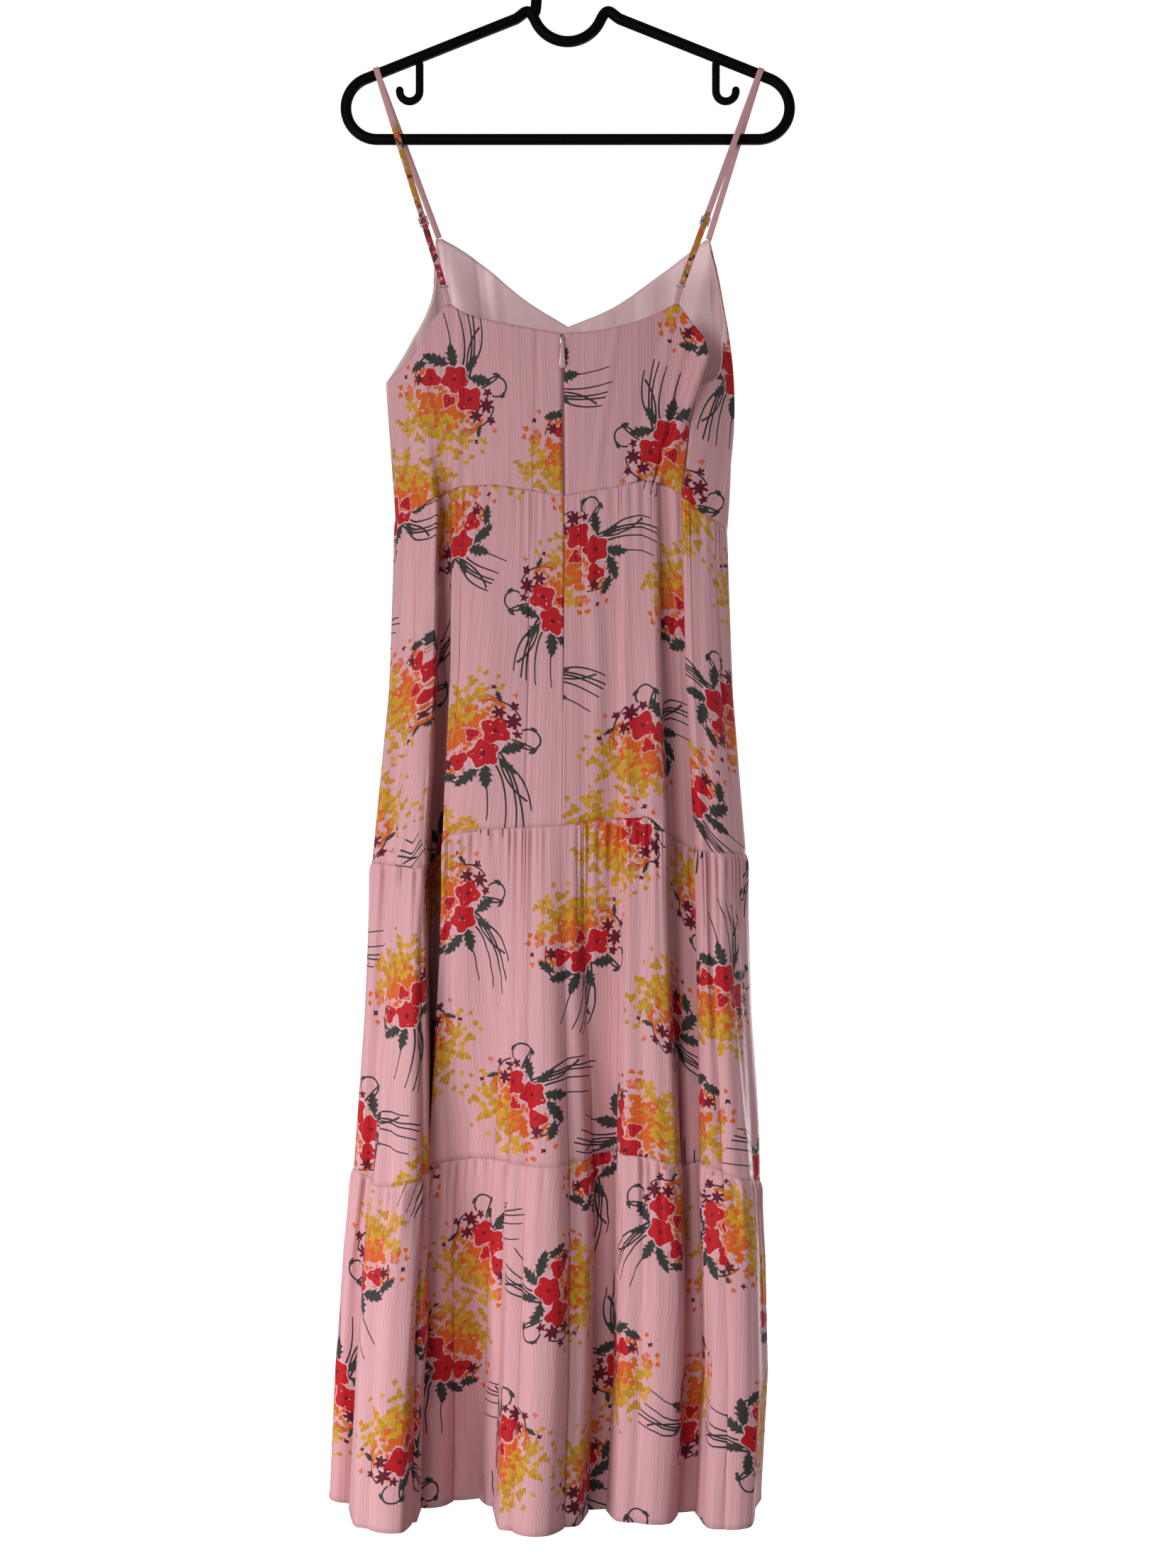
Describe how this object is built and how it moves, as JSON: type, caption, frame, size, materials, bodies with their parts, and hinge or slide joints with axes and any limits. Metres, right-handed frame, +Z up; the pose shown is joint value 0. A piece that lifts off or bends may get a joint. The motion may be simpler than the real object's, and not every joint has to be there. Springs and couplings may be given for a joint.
{
  "type": "maxi dress on a plain clothes hanger",
  "caption": "Sleeveless floor-length dress with thin adjustable straps, V neck, concealed back zip and gathered tiers, hanging from a plain hanger with a hook.",
  "frame": {"origin": "highest point inside the hanger's hook, where a rail carries it", "axes": "+Z up; -Y is the side with the zip, the dress's back; +X is to the right as seen from that side"},
  "size_m": [0.43, 0.1626, 1.4769],
  "materials": {
    "printed_cloth": "crinkled matt cloth with a floral print",
    "lining_cloth": "plain soft satin",
    "steel": "bright small fittings",
    "zip": "lacquered pink zip",
    "hanger_plastic": "satin black plastic"
  },
  "bodies": {
    "dress": {"bodice_back_left": "printed_cloth", "bodice_back_right": "printed_cloth", "bodice_front": "printed_cloth", "tier_1_back_left": "printed_cloth", "tier_1_back_right": "printed_cloth", "tier_1_front": "printed_cloth", "tier_2_back": "printed_cloth", "tier_2_front": "printed_cloth", "tier_3_back": "printed_cloth", "tier_3_front": "printed_cloth", "strap_left": "printed_cloth", "strap_right": "printed_cloth", "ring_tab_left": "printed_cloth", "ring_tab_right": "printed_cloth", "bodice_front_lining": "lining_cloth", "strap_slider_left": "steel", "strap_slider_right": "steel", "strap_ring_left": "steel", "strap_ring_right": "steel", "zip_chain": "zip", "zip_slider": "zip", "hanger_frame": "hanger_plastic", "hanger_hook": "hanger_plastic", "hanger_notch_left": "hanger_plastic", "hanger_notch_right": "hanger_plastic"},
    "zip_pull": {"zip_pull": "zip"}
  },
  "joints": [
    {"name": "zip_pull_swing", "type": "hinge", "parent": "dress", "child": "zip_pull", "pos_m": [-0.00456, -0.0469, -0.4002], "axis": [-1, 0, 0], "range_deg": [0, 150]}
  ]
}
